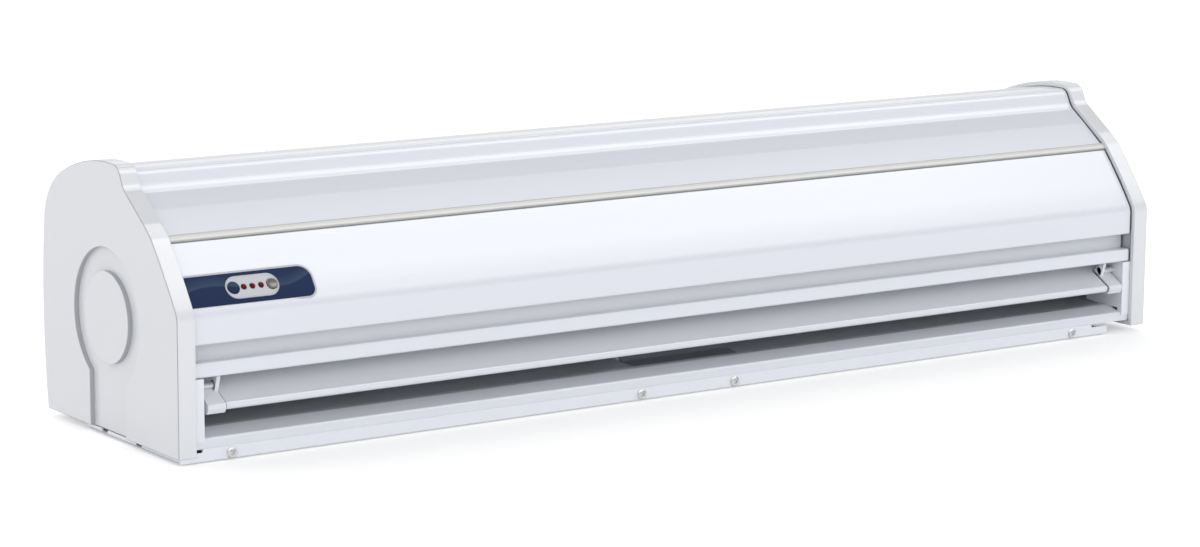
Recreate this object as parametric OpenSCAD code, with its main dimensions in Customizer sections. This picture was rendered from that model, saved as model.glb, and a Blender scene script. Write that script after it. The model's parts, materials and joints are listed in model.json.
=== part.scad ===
// Cross-flow air curtain, shown lying on its wall plate.
// X runs along the unit, -Y is the outlet side, +Y the intake side, +Z the room side.
// Section coordinates: u is the depth behind the front of the end caps, and
// v is the height above the bottom of the end caps. The plate lies below v = 0.

/* [Case] */
// Overall length over the end caps
case_l = 900; // [860:10:1200]
// Width of each end cap along the unit
cap_w = 14; // [13:0.5:16]
// Wall of the moulded end caps
cap_t = 3; // [2.6:0.1:3.2]
// Depth of the panels inside the end caps' outline
reveal = 4; // [3.8:0.1:4.2]
// Thickness of the formed front panel and hood
panel_t = 1.6; // [1.2:0.1:1.8]
// Thickness of the chassis sheet metal
sheet_t = 1.2; // [1:0.1:1.4]

/* [End cap ornament] */
// Radius of the round end of the keyhole recess
keyhole_r = 50; // [46:1:52]
// Radius of the raised disc in it
disc_r = 33; // [28:1:36]
// Depth of the recess
recess_d = 4; // [3:0.5:4.5]

/* [Outlet] */
// Height at which the outlet's lower edge bends back
lip_v = 9.2; // [8.8:0.1:9.6]
// Height of the outlet's upper edge
outlet_v = 54; // [52:0.5:55]
// Depth of the shadow groove above the outlet
groove_d = 10; // [6:0.5:11]
// Chord of the air vane
vane_chord = 34.5; // [28:0.5:35]
// Tilt of the vane as it is set
vane_tilt = 30; // [15:1:32]

/* [Fan] */
// Outer radius of the impellers
rotor_r = 46; // [42:0.5:47]
// Blades round each impeller
blade_n = 36; // [24:1:40]
// Radius of the shafts
shaft_r = 4; // [3:0.5:4]
// Radius of the motor body
motor_r = 42; // [38:1:43]

/* [Control panel] */
// Length of the control overlay
overlay_l = 101; // [95:1:140]
// Height of the control overlay
overlay_h = 25.4; // [22:0.2:25.6]
// Length of the silver bezel
bezel_l = 41.5; // [41:0.5:46]
// Height of the silver bezel
bezel_h = 17; // [16.4:0.2:18.4]
// Travel of the power button
button_travel = 1; // [0.6:0.1:1.2]

/* [Wall plate] */
// Length of the wall plate
plate_l = 859; // [820:1:859]
// Offset of the plate from the middle of the unit
plate_x = -17.6; // [-17.6:0.1:10]
// Spacing of the wall bolts along the unit
bolt_dx = 760; // [600:10:780]
// Spacing of the wall bolts across the plate
bolt_dy = 90; // [70:1:90]
// Radius of the wall bolt holes
bolt_r = 3.5; // [2.5:0.25:4]

/* [Hidden] */

white = [0.93, 0.935, 0.95];
zinc = [0.72, 0.73, 0.74];
steel = [0.6, 0.61, 0.63];
dark = [0.2, 0.2, 0.22];
arc_tol = 0.05;
tiny = 0.01;
$fn = 48;

half = case_l / 2;
panel_x = half - cap_w;
plate_t = 1.2;
lift = 4;

// Corners of the case section: depth u, height v, radius
case_corners = [[0, 0, 0], [0, 98.8, 15], [16.8, 124.4, 420], [36.8, 148.3, 22],
    [46.6, 156.05, 60], [76.6, 177.3, 14], [83.8, 191.95, 12], [133.5, 194.7, 174],
    [198.6, 165.2, 47.5], [209.2, 73.6, 559], [200.6, 0, 0]];

// ---- Outlines built from corners and radii ----
function unit(a) = a / norm(a);
function flat(p) = [p[0], p[1]];
function wrap(a) = (a + 900) % 360 - 180;
function polar(r, a) = r * [cos(a), sin(a)];
function angle(d) = atan2(d[1], d[0]);
// Points of an arc about c from angle a0 to a1
function arc(c, r, a0, a1) =
    let (n = max(3, ceil(abs(a1 - a0) / (2 * acos(1 - arc_tol / r)))))
    [for (i = [0:n]) c + polar(r, a0 + (a1 - a0) * i / n)];
// Left-hand normal of the step from a to b
function left(a, b) = let (d = unit(b - a)) [-d[1], d[0]];
// Centre of the arc of radius r that rounds corner p between a and b
function arc_centre(a, p, b, r) =
    let (ua = unit(flat(a) - flat(p)), ub = unit(flat(b) - flat(p)))
    flat(p) + unit(ua + ub) * r / sin(acos(ua * ub) / 2);
// Points of that arc
function corner(a, p, b, r) =
    let (c = arc_centre(a, p, b, r),
        ua = unit(flat(a) - flat(p)), ub = unit(flat(b) - flat(p)),
        t = r / tan(acos(ua * ub) / 2), a0 = angle(flat(p) + ua * t - c))
    arc(c, r, a0, a0 + wrap(angle(flat(p) + ub * t - c) - a0));
function is_round(p) = len(p) > 2 && p[2] > 0;
// Closed outline with its corners rounded
function ring(p) = let (n = len(p)) [for (i = [0:n - 1])
    each (is_round(p[i]) ? corner(p[(i + n - 1) % n], p[i], p[(i + 1) % n], p[i][2])
        : [flat(p[i])])];
// Open line with its bends rounded
function bend(p) = [for (i = [0:len(p) - 1])
    each (is_round(p[i]) ? corner(p[i - 1], p[i], p[i + 1], p[i][2]) : [flat(p[i])])];
// Clockwise corners moved inwards by d, with their radii to match
function inset(p, d) = let (n = len(p)) [for (i = [0:n - 1])
    let (a = flat(p[(i + n - 1) % n]), q = flat(p[i]), b = flat(p[(i + 1) % n]),
        n1 = -left(a, q), n2 = -left(q, b), r = p[i][2])
    concat(q + d * (n1 + n2) / (1 + n1 * n2),
        r == 0 ? 0 : r + (cross(q - a, b - q) < 0 ? -d : d))];
function outline(d) = ring(inset(case_corners, d));
// Rounded corner i of the case at inset d
function case_corner(i, d) = let (p = inset(case_corners, d))
    corner(p[i - 1], p[i], p[i + 1], p[i][2]);
function case_centre(i) = arc_centre(case_corners[i - 1], case_corners[i],
    case_corners[i + 1], case_corners[i][2]);
function case_angle(i) = angle(left(case_corners[i], case_corners[i + 1]));
function mitre(p, i) =
    i == 0 ? left(p[0], p[1])
    : i == len(p) - 1 ? left(p[i - 1], p[i])
    : let (n1 = left(p[i - 1], p[i]), n2 = left(p[i], p[i + 1]))
        (n1 + n2) / (1 + n1 * n2);
// Sheet of thickness t on the left of an open line, or on its right if t < 0
function ribbon(p, t) =
    concat(p, [for (i = [len(p) - 1:-1:0]) p[i] + t * mitre(p, i)]);

case_d = max([for (p = outline(0)) p[0]]);

// ---- Placing ----
module section(x0, x1)
    translate([x0, -case_d / 2, lift]) rotate([90, 0, 90]) linear_extrude(x1 - x0)
        children();
module at(x, u, v) translate([x, u - case_d / 2, v + lift]) children();
module rod(x0, x1, u, v, r) at(x0, u, v) rotate([0, 90, 0]) cylinder(h = x1 - x0, r = r);
module tube(x0, x1, u, v, r, bore) difference() {
    rod(x0, x1, u, v, r);
    rod(x0 - 1, x1 + 1, u, v, bore);
}
// Box between two corners given in x, u, v
module block(a, b) at(a[0], a[1], a[2]) cube(b - a);
module mirrored() mirror([1, 0, 0]) children();
// Formed sheet with its outer face along a line
module sheet(line, t) polygon(ribbon(line, -t));
// Screw along -Z with a domed cross-recess head on z = 0
module screw(r, len, head_r) difference() {
    union() {
        translate([0, 0, -len]) cylinder(h = len + tiny, r = r, $fn = 24);
        cylinder(h = head_r * 0.3, r = head_r);
        translate([0, 0, head_r * 0.3]) cylinder(h = head_r * 0.3, r1 = head_r,
            r2 = head_r * 0.7);
    }
    for (a = [0, 90]) rotate([0, 0, a])
        translate([-head_r * 0.55, -head_r * 0.12, head_r * 0.25])
            cube([head_r * 1.1, head_r * 0.24, head_r]);
}

// ---- Shared places ----
axis_u = 106;
axis_v = 82;
panel_corners = inset(case_corners, reveal);
// Slanted front below the trim: a very shallow arc
front_c = case_centre(2);
front_r = case_corners[2][2] - reveal;
// Trim bead: in the bend between the two slanted faces
trim_r = 3.1;
trim_gap = 0.1;
trim_depth = 8;
trim_p = flat(panel_corners[3]);
trim_a = (case_angle(2) + case_angle(3)) / 2;
trim_step = (trim_r + trim_gap) / cos(trim_a - case_angle(3));
front_end = trim_p + polar(trim_step, case_angle(2) + 90);
hood_start = trim_p + polar(trim_step, case_angle(3) - 90);
// Bends of the hood, whose crease lies further back than that of the end caps
hood_corners = concat([trim_p, [62.9, 163, 60]], [for (i = [5:9]) panel_corners[i]]);
// Back of the case: a shallow arc
back_c = case_centre(9);
back_r = case_corners[9][2] - reveal;
function back_a(v) = asin((v - back_c[1]) / back_r);
hood_v = 132;
groove_top = 76.7;
groove_floor = 64.4;
groove_u = reveal + groove_d;
lip_u = 4.3;
lip_r = 3;
lip_corner_v = lip_v + 2.3;
lip_top = [20, 16.2];
lip_back_u = 26;
strip_u = 4.4;
pan_v = 4.6;
pan_back_u = 197;
skirt_v = -2.5;
skirt_t = 1.5;
floor_v = lip_top[1] - skirt_t;
plate_flange_v = 5;
plate_tab_v = 2.5;
plate_tab_l = 17.5;
plate_back_u = 143;
plate_screw_dx = [43.5, 390];
plate_screw_x = [for (s = [-1, 1], d = plate_screw_dx) plate_x + s * d];
screw_r = 2;
hole_gap = 0.05;
frame_t = 1.5;
bay_x = 50;
cheek_w = 8;
pin_u = 16;
pin_v = 46;
pin_r = 2.5;
fit_gap = 0.04;
bearing_r = 11;
holder_r = 18.5;
holder_groove_r = 16.5;
stub_end = half - 8;
rotor_in = bay_x + 4;
rotor_out = panel_x - 12;
hook_x = [-300, 0, 300];
hook_w = 24;
hook_u = 140;
gland_x = -(half - 50);
gland_v = 22;
gland_r = 8;
cable_r = 3.8;
wall_bolt_u = 75;

// ---- Case ----
module wall_plate() color(white) difference() {
    union() {
        section(plate_x - plate_l / 2, plate_x + plate_l / 2) {
            translate([lip_u - plate_t, -lift])
                square([plate_back_u - lip_u + plate_t, plate_t]);
            translate([lip_u - plate_t, -lift])
                square([plate_t, plate_flange_v + lift]);
        }
        for (s = [-1, 1])
            block([plate_x + s * (plate_l / 2 - plate_t / 2) - plate_t / 2, lip_u, -lift],
                [plate_x + s * (plate_l / 2 - plate_t / 2) + plate_t / 2, plate_back_u, -0.4]);
        for (x = hook_x) section(x - hook_w / 2, x + hook_w / 2) {
            translate([hook_u, -lift]) square([plate_t, lift + 9]);
            translate([hook_u, 9 - plate_t]) square([7, plate_t]);
        }
    }
    // Open ends of the front flange
    for (s = [-1, 1])
        block([plate_x + s * (plate_l - plate_tab_l) / 2 - plate_tab_l / 2 - tiny, 0, plate_tab_v],
            [plate_x + s * (plate_l - plate_tab_l) / 2 + plate_tab_l / 2 + tiny, 8,
                plate_flange_v + 1]);
    // Notches in the end flanges
    for (s = [-1, 1], u = [60, 112])
        block([plate_x + s * plate_l / 2 - 2, u, -lift + plate_t],
            [plate_x + s * plate_l / 2 + 2, u + 9, 1]);
    for (x = plate_screw_x) at(x, 0, 0) rotate([-90, 0, 0])
        cylinder(h = 8, r = screw_r + hole_gap);
    for (sx = [-1, 1], sy = [-1, 1])
        at(plate_x + sx * bolt_dx / 2, wall_bolt_u + sy * bolt_dy / 2, -lift - 1)
            cylinder(h = 4, r = bolt_r);
}

module base_pan() color(zinc) difference() {
    union() {
        section(-panel_x, panel_x) {
            translate([lip_u, pan_v]) square([skirt_t, lip_v - pan_v]);
            translate([lip_u, pan_v]) square([pan_back_u - lip_u, sheet_t]);
            translate([pan_back_u - sheet_t, pan_v]) square([sheet_t, 40 - pan_v]);
        }
        // Rising lip between the cheeks
        section(-panel_x + cheek_w + fit_gap, panel_x - cheek_w - fit_gap)
            polygon(ribbon(bend([[lip_u, lip_v - tiny], [lip_u, lip_corner_v, lip_r],
                [lip_top[0], lip_top[1], 6], [lip_back_u, lip_top[1]]]), -skirt_t));
        // Front skirt that the plate is screwed to
        block([plate_x - plate_l / 2 + plate_tab_l, lip_u, skirt_v],
            [plate_x + plate_l / 2 - plate_tab_l, lip_u + skirt_t, pan_v + tiny]);
    }
    for (x = plate_screw_x) at(x, 0, 0) rotate([-90, 0, 0])
        cylinder(h = 12, r = screw_r + hole_gap);
    for (x = hook_x)
        block([x - hook_w / 2 - 3, 133, pan_v - 1],
            [x + hook_w / 2 + 3, hook_u + plate_t + 0.1, pan_v + 3]);
    at(gland_x, pan_back_u + 1, gland_v) rotate([90, 0, 0])
        cylinder(h = 4, r = gland_r + hole_gap);
    frame_screw_places() translate([0, 0, -4]) cylinder(h = 12, r = screw_r + hole_gap);
    bracket_screw_places() translate([0, 0, -4]) cylinder(h = 12, r = screw_r + hole_gap);
}
module frame_screw_places() for (s = [-1, 1], u = [40, 165]) at(s * (panel_x - 6), u, pan_v)
    children();
module bracket_screw_places() for (s = [-1, 1], u = [76, 136]) at(s * 30, u, pan_v) children();

lower_front_line = concat([[strip_u + 4, outlet_v], [strip_u, outlet_v],
    [strip_u, groove_floor], [groove_u, groove_floor], [groove_u, groove_top],
    [reveal, groove_top]], case_corner(1, reveal),
    arc(front_c, front_r, case_angle(1), case_angle(2)),
    [front_end, front_end - polar(trim_depth, trim_a)]);
hood_line = concat([hood_start - polar(trim_depth, trim_a), hood_start],
    [for (i = [1:5]) each corner(hood_corners[i - 1], hood_corners[i], hood_corners[i + 1],
        hood_corners[i][2])],
    arc(back_c, back_r, case_angle(8), back_a(hood_v)), [[188, hood_v]]);

module lower_front_panel() color(white) difference() {
    union() {
        section(-panel_x, panel_x) sheet(lower_front_line, panel_t);
        // Posts and pins that carry the indicator board
        for (s = [-1, 1]) {
            on_panel(s * board_post_x, 0, -board_h) cylinder(h = board_h - 1, r = 2.5);
            on_panel(s * board_post_x, 0, -board_h - 2.4) cylinder(h = 4, r = 1);
        }
    }
    on_panel(0, 0, -4) linear_extrude(6) slot_shape(bezel_l - 1, bezel_h - 3);
}

module hood() color(white) section(-panel_x, panel_x) sheet(hood_line, panel_t);

module trim_strip() color([0.9, 0.9, 0.86]) section(-panel_x, panel_x)
    translate(trim_p) rotate(trim_a - 90) {
        translate([0, -1.2]) circle(r = trim_r, $fn = 32);
        translate([-2.2, -trim_depth]) square([4.4, trim_depth - 1.2]);
    }

module keyhole(grow) {
    translate([axis_u, axis_v]) circle(r = keyhole_r + grow, $fn = 96);
    translate([78.5 - grow, -1]) square([55 + 2 * grow, axis_v + 1]);
}

module end_cap() difference() {
    section(-half, -panel_x) polygon(outline(0));
    // Room inside, beside and behind the recess
    section(-half + cap_t, -half + recess_d + cap_t + 0.5) difference() {
        polygon(outline(cap_t));
        keyhole(cap_t);
    }
    section(-half + recess_d + cap_t, -panel_x + 1) polygon(outline(cap_t));
    // The recess round the disc, and the back of the disc
    section(-half - 1, -half + recess_d) difference() {
        keyhole(0);
        translate([axis_u, axis_v]) circle(r = disc_r, $fn = 96);
    }
    rod(-half + cap_t, -half + recess_d + cap_t + 1, axis_u, axis_v, disc_r - cap_t);
    cap_screw_places() translate([0, 0, -2]) cylinder(h = 8, r = screw_r + hole_gap);
}
module cap_screw_places() for (u = [152, 188]) at(-half + 8, u, 0) children();

module left_end_cap() color(white) difference() {
    end_cap();
    // Slit for the end of the wall plate's flange
    block([-half + 2, cap_t, -1], [-panel_x + 1, lip_u + 1, cap_t + 2]);
}
module right_end_cap() color(white) mirrored() end_cap();

grille_rows = 8;
grille_cols = 9;
grille_v0 = 46.5;
grille_pitch = 10.6;
grille_slot = 6.6;
grille_bar = 6;
grille_col = (2 * panel_x - 44 + grille_bar) / grille_cols;
module intake_grille() color(white) difference() {
    section(-panel_x, panel_x)
        sheet(arc(back_c, back_r, back_a(hood_v - 0.3), back_a(35.5)), 2.4);
    at(0, 230, 0) rotate([90, 0, 0]) linear_extrude(60)
        for (i = [0:grille_cols - 1], j = [0:grille_rows - 1])
            translate([-panel_x + 22 + i * grille_col, grille_v0 + j * grille_pitch])
                square([grille_col - grille_bar, grille_slot]);
    grille_screw_places() translate([0, 0, -12]) cylinder(h = 20, r = screw_r + hole_gap);
}
module grille_screw_places() for (s = [-1, 1], v = [60, 118])
    at(s * (panel_x - 9), back_c[0] + back_r * cos(back_a(v)), v)
        rotate([back_a(v) - 90, 0, 0]) children();

module side_frame() color(steel) difference() {
    union() {
        section(-panel_x - frame_t, -panel_x) polygon(outline(reveal));
        // Foot on the pan, flange behind the grille, and lug for the end cap
        block([-panel_x - tiny, 25, pan_v + sheet_t], [-panel_x + 12, 180, pan_v + sheet_t + 1.5]);
        section(-panel_x - tiny, -panel_x + 16)
            sheet(arc(back_c, back_r - 2.5, back_a(128), back_a(50)), 1.5);
        block([-half + cap_t + 0.5, 145, reveal], [-panel_x - frame_t + tiny, 194, reveal + 1.5]);
    }
    rod(-half, 0, axis_u, axis_v, holder_groove_r);
    cap_screw_places() cylinder(h = 12, r = screw_r + hole_gap);
    frame_screw_places() cylinder(h = 12, r = screw_r + hole_gap);
    grille_screw_places() translate([0, 0, -12]) cylinder(h = 20, r = screw_r + hole_gap);
}
module left_side_frame() side_frame();
module right_side_frame() mirrored() side_frame();

module outlet_cheek() color(white) difference() {
    section(-panel_x, -panel_x + cheek_w) polygon([[3.6, lip_v], [8.8, lip_v],
        [8.8, floor_v + 0.2], [30, floor_v + 0.2], [46, floor_v + 2], [46, 60],
        [8.6, 60], [8.6, outlet_v - 0.4], [3.6, outlet_v - 0.4]]);
    rod(-panel_x - 1, -panel_x + cheek_w + 1, pin_u, pin_v, pin_r + fit_gap);
}
module left_outlet_cheek() outlet_cheek();
module right_outlet_cheek() mirrored() outlet_cheek();

// ---- Air path ----
scroll_r0 = 62;
scroll_r1 = rotor_r + 4;
scroll_line = concat([[21, floor_v], [30, floor_v]],
    [for (i = [0:20]) let (a = -95 + 6.5 * i)
        [axis_u, axis_v] + polar(scroll_r0 + (scroll_r1 - scroll_r0) * i / 20, a)],
    [[158, 114]]);
module scroll_casing() color(zinc)
    section(-panel_x + tiny, -bay_x - sheet_t) polygon(ribbon(scroll_line, -sheet_t));
module left_scroll_casing() scroll_casing();
module right_scroll_casing() mirrored() scroll_casing();

tongue_back_u = groove_u + panel_t;
module vortex_tongue() color(zinc) section(-panel_x, panel_x)
    polygon(ribbon(bend([[tongue_back_u, 74], [tongue_back_u, 61.2, 2],
        [59.5, 60.2, 3.6], [50, 92], [30, 92]]), sheet_t));

module motor_bulkhead() color(zinc) difference() {
    section(-bay_x - sheet_t, -bay_x) polygon([[22, floor_v], [50, 16.5], [56, 24],
        [57, 57], [60, 66], [63, 104], [82, 132], [120, 134], [148, 122], [164, 92],
        [170, 50], [160, pan_v + sheet_t], [22, pan_v + sheet_t]]);
    rod(-half, 0, axis_u, axis_v, 14);
}
module left_motor_bulkhead() motor_bulkhead();
module right_motor_bulkhead() mirrored() motor_bulkhead();

module motor_bay_cover() color(zinc) section(-bay_x, bay_x)
    polygon(ribbon([[21, floor_v], [30, floor_v], [44, 16.5], [52, 22], [56.4, 58]],
        -sheet_t));

// ---- Vane ----
vane_nose = [6.1, 33];
nose_r = 3;
module vane_frame() translate(vane_nose) rotate(vane_tilt) children();
module vane_section() {
    translate(vane_nose) circle(r = nose_r);
    vane_frame() translate([0, 1.2]) square([vane_chord, 1.6]);
}
vane_x = panel_x - cheek_w - 2;
clip_w = 14;
lug_w = 3;
module vane_blade() color(white) section(-vane_x + 1, vane_x - 1) vane_section();
module vane_clip() color(white) difference() {
    union() {
        section(-vane_x, -vane_x + clip_w) {
            translate(vane_nose) circle(r = nose_r + 1.4);
            vane_frame() translate([0, -0.4]) square([20, 4.6]);
        }
        // Lug for the pivot pin
        section(-vane_x + clip_w - lug_w, -vane_x + clip_w) {
            translate([pin_u, pin_v]) circle(r = 3.8);
            polygon([[9.2, 53.2], [15, 53.6], [18.2, 47], [13.3, 40.5]]);
        }
    }
    section(-vane_x + 1, 0) vane_section();
    rod(-vane_x - 1, -vane_x + clip_w - 1, pin_u, pin_v, pin_r);
}
module left_vane_clip() vane_clip();
module right_vane_clip() mirrored() vane_clip();
module vane_pivot_pins() color(steel) for (s = [0, 1]) mirror([s, 0, 0])
    rod(-panel_x + 1, -vane_x + clip_w - 1, pin_u, pin_v, pin_r);

// ---- Motor ----
motor_x = 36;
boss_x = 43;
boss_r = 14;
ring_r = 19;
cradle_x = 38;
module motor_bracket() color(steel) difference() {
    union() {
        block([-46, 70, pan_v + sheet_t], [46, 142, pan_v + sheet_t + 2]);
        for (s = [0, 1]) mirror([s, 0, 0]) section(-boss_x, -cradle_x)
            polygon([[76, pan_v + 3], [136, pan_v + 3], [133, axis_v], [79, axis_v]]);
    }
    // Room for the hook of the wall plate
    block([-hook_w / 2 - 4, 132, pan_v], [hook_w / 2 + 4, 143, pan_v + 5]);
    rod(-half, half, axis_u, axis_v, ring_r);
    bracket_screw_places() cylinder(h = 12, r = screw_r + hole_gap);
    clamp_screw_places() translate([0, 0, -10]) cylinder(h = 12, r = 1.5 + hole_gap);
}
module clamp_screw_places() for (s = [-1, 1], d = [-1, 1])
    at(s * (boss_x + cradle_x) / 2, axis_u + d * 23.8, axis_v) children();
module motor_clamps() color(steel) difference() {
    for (s = [0, 1]) mirror([s, 0, 0]) section(-boss_x, -cradle_x) difference() {
        union() {
            translate([axis_u, axis_v]) circle(r = ring_r + 2.2);
            translate([axis_u - 27, axis_v]) square([54, 2]);
        }
        translate([axis_u, axis_v]) circle(r = ring_r);
        translate([axis_u - 40, axis_v - 40]) square([80, 40]);
    }
    clamp_screw_places() translate([0, 0, -1]) cylinder(h = 8, r = 1.5 + hole_gap);
}
module motor_rubber_rings() color(dark) for (s = [0, 1]) mirror([s, 0, 0])
    tube(-boss_x, -cradle_x, axis_u, axis_v, ring_r, boss_r);
module motor_shell() color(zinc) difference() {
    union() {
        rod(-motor_x, 0, axis_u, axis_v, motor_r);
        rod(-boss_x, -motor_x + 1, axis_u, axis_v, boss_r);
    }
    rod(-motor_x + 2.5, 1, axis_u, axis_v, motor_r - 2);
    rod(-boss_x + 2, 0, axis_u, axis_v, bearing_r);
    rod(-half, 0, axis_u, axis_v, shaft_r + 2);
    for (a = [20:40:340]) at(-28, axis_u, axis_v) rotate([a, 0, 0])
        translate([0, -3, motor_r - 6]) cube([12, 6, 10]);
}
module left_motor_shell() motor_shell();
module right_motor_shell() mirrored() motor_shell();
module motor_stator() color([0.55, 0.35, 0.2]) difference() {
    union() {
        rod(-15, 15, axis_u, axis_v, motor_r - 2);
        rod(-24, 24, axis_u, axis_v, motor_r - 6);
    }
    rod(-30, 30, axis_u, axis_v, 26);
}
module motor_bearings() color(steel) for (s = [0, 1]) mirror([s, 0, 0])
    tube(-boss_x + 2, -motor_x + 2.5, axis_u, axis_v, bearing_r, shaft_r + fit_gap);
module motor_rotor() color(steel) tube(-15, 15, axis_u, axis_v, 25.4, shaft_r);
module motor_shaft() color(steel) rod(-rotor_in - 22, rotor_in + 22, axis_u, axis_v, shaft_r);

// ---- Impellers ----
blade_in = rotor_r - 9.6;
// Centre line of one forward-curved blade
blade_line = [for (i = [0:3]) let (t = i / 3)
    polar(blade_in + (rotor_r - 0.3 - blade_in) * t, 16 * pow(t, 1.7))];
module impeller() color([0.75, 0.76, 0.78]) difference() {
    union() {
        at(-rotor_out, axis_u, axis_v) rotate([90, 0, 90])
            linear_extrude(rotor_out - rotor_in)
                for (i = [0:blade_n - 1]) rotate(i * 360 / blade_n)
                    polygon(ribbon(blade_line, 0.9));
        rod(-rotor_out, -rotor_out + 1.2, axis_u, axis_v, rotor_r);
        rod(-rotor_in - 1.2, -rotor_in, axis_u, axis_v, rotor_r);
        for (i = [1:3]) let (x = -rotor_out + i * (rotor_out - rotor_in) / 4)
            tube(x - 0.6, x + 0.6, axis_u, axis_v, rotor_r, blade_in - 0.5);
        rod(-rotor_in - 20, -rotor_in, axis_u, axis_v, 11);
    }
    rod(-half, 0, axis_u, axis_v, shaft_r);
    at(-rotor_in - 12, axis_u, axis_v) cylinder(h = 12, r = screw_r);
}
module left_impeller() impeller();
module right_impeller() mirrored() impeller();
module stub_shaft() color(steel) difference() {
    union() {
        rod(-stub_end, -rotor_out + 6, axis_u, axis_v, shaft_r);
        rod(-rotor_out - 2, -rotor_out, axis_u, axis_v, 12);
    }
}
module left_stub_shaft() stub_shaft();
module right_stub_shaft() mirrored() stub_shaft();
module impeller_set_screws() color(dark) for (s = [-1, 1])
    at(s * (rotor_in + 12), axis_u, axis_v + shaft_r) cylinder(h = 6.4, r = screw_r);
module bearing() color([0.7, 0.5, 0.25])
    tube(-panel_x - 5, -panel_x + 3, axis_u, axis_v, bearing_r, shaft_r + fit_gap);
module left_bearing() bearing();
module right_bearing() mirrored() bearing();
module bearing_holder() color(dark) difference() {
    rod(-panel_x - 5, -panel_x + 4, axis_u, axis_v, holder_r);
    rod(-half, 0, axis_u, axis_v, bearing_r);
    tube(-panel_x - frame_t, -panel_x, axis_u, axis_v, holder_r + 1, holder_groove_r);
}
module left_bearing_holder() bearing_holder();
module right_bearing_holder() mirrored() bearing_holder();

// ---- Electrical parts ----
box_x0 = -panel_x;
box_x1 = box_x0 + 226;
module electrical_box() color(zinc) difference() {
    union() {
        section(box_x0, box_x1)
            polygon(ribbon([[20, 98], [20, 92], [52, 92], [52, 120], [40, 120]], sheet_t));
        for (x = [box_x0, box_x1 - sheet_t]) section(x, x + sheet_t)
            polygon([[20, 92], [52, 92], [52, 120], [33.8, 120], [20, 98.1]]);
    }
    rod(box_x1 - 5, box_x1 + 5, 44, 108, 3.6);
}
module electrical_box_lid() color(zinc) section(box_x0, box_x1)
    polygon(ribbon([[18.6, 96], [18.6, 98.5], [33, 121.4], [44, 121.4]], -sheet_t));
board_v = 96.5;
module control_board() color([0.1, 0.4, 0.2]) {
    block([box_x0 + 8, 22, board_v], [box_x0 + 142, 50, board_v + 1.6]);
    for (x = [box_x0 + 12, box_x0 + 138], u = [25, 47])
        at(x, u, 92 + sheet_t) cylinder(h = board_v - 92 - sheet_t + tiny, r = 2);
}
module transformer() color([0.75, 0.65, 0.2]) {
    block([box_x0 + 18, 33, board_v + 1.6], [box_x0 + 50, 49, board_v + 17]);
    block([box_x0 + 23, 35, board_v + 17], [box_x0 + 45, 47, board_v + 19.5]);
}
module relays() color([0.15, 0.35, 0.6]) for (i = [0:2])
    block([box_x0 + 60 + i * 24, 33, board_v + 1.6], [box_x0 + 79 + i * 24, 48, board_v + 16]);
module run_capacitor() color(dark)
    block([box_x0 + 150, 29.5, 92 + sheet_t], [box_x0 + 188, 46.5, 92 + sheet_t + 17]);
module terminal_block() color([0.9, 0.9, 0.88]) difference() {
    block([box_x0 + 192, 27, 92 + sheet_t], [box_x0 + 221, 42, 92 + sheet_t + 12]);
    for (i = [0:3]) at(box_x0 + 196 + i * 7, 34.5, 98) cylinder(h = 12, r = 2);
}
// Route of the motor lead in x, u, v, from the motor to the electrical box
lead_r = 2.5;
lead_line = [[-20, 74.6, 110.5], [-24, 62, 118], [-60, 57, 120], [-190, 50, 122],
    [-203, 44, 108], [box_x1 - 6, 44, 108]];
module motor_lead() color(dark) for (i = [0:len(lead_line) - 2])
    let (a = lead_line[i], d = lead_line[i + 1] - a) at(a[0], a[1], a[2]) {
        rotate([0, acos(d[2] / norm(d)), atan2(d[1], d[0])])
            cylinder(h = norm(d), r = lead_r, $fn = 10);
        if (i > 0) sphere(r = lead_r * 1.04, $fn = 10);
    }
module cable_gland() color(dark) difference() {
    at(gland_x, pan_back_u, gland_v) rotate([-90, 0, 0]) {
        translate([0, 0, -8]) cylinder(h = 9, r = gland_r);
        cylinder(h = 5, r = 11, $fn = 6);
        cylinder(h = 8, r = 8.6);
        translate([0, 0, -5.2]) cylinder(h = 4, r = 10.5, $fn = 6);
    }
    at(gland_x, pan_back_u - 10, gland_v) rotate([-90, 0, 0]) cylinder(h = 24, r = cable_r);
}

// ---- Control panel, on the slanted front ----
panel_a = 145.04;
bezel_x = -half + 65.2;
board_h = 8;
board_post_x = 29;
module on_panel(x, s, h) at(bezel_x, front_c[0], front_c[1])
    rotate([panel_a - 90, 0, 0]) translate([x, s, front_r + h]) children();
module slot_shape(l, h) {
    square([l - h, h], center = true);
    for (s = [-1, 1]) translate([s * (l - h) / 2, 0]) circle(r = h / 2);
}
overlay_s = 0.2;
lamp_x = [-6.6, 0.1, 6.9];
lamp_r = 2.1;
window_x = -14.6;
window_r = 4.75;
button_x = 15.4;
button_r = 3.9;
button_h0 = -5;
module control_overlay() color([0.1, 0.14, 0.28]) intersection() {
    section(-panel_x, bezel_x + 100)
        sheet(arc(front_c, front_r + 0.87, case_angle(1) + 0.3, case_angle(2)), 0.8);
    on_panel(0, 0, -6) linear_extrude(9) difference() {
        translate([-panel_x - bezel_x, overlay_s - overlay_h / 2])
            polygon(ring([[0, 0, 0], [0, overlay_h, 0], [overlay_l, overlay_h, 10],
                [overlay_l, 0, 10]]));
        slot_shape(bezel_l + 0.2, bezel_h + 0.2);
    }
}
module indicator_bezel() color([0.8, 0.81, 0.83]) on_panel(0, 0, 0.02) difference() {
    linear_extrude(1.5) slot_shape(bezel_l, bezel_h);
    for (x = lamp_x) translate([x, 0, -1]) cylinder(h = 4, r = lamp_r + 0.1);
    translate([window_x, 0, -1]) cylinder(h = 4, r = window_r);
    translate([button_x, 0, -1]) cylinder(h = 4, r = button_r + 0.3);
}
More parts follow.
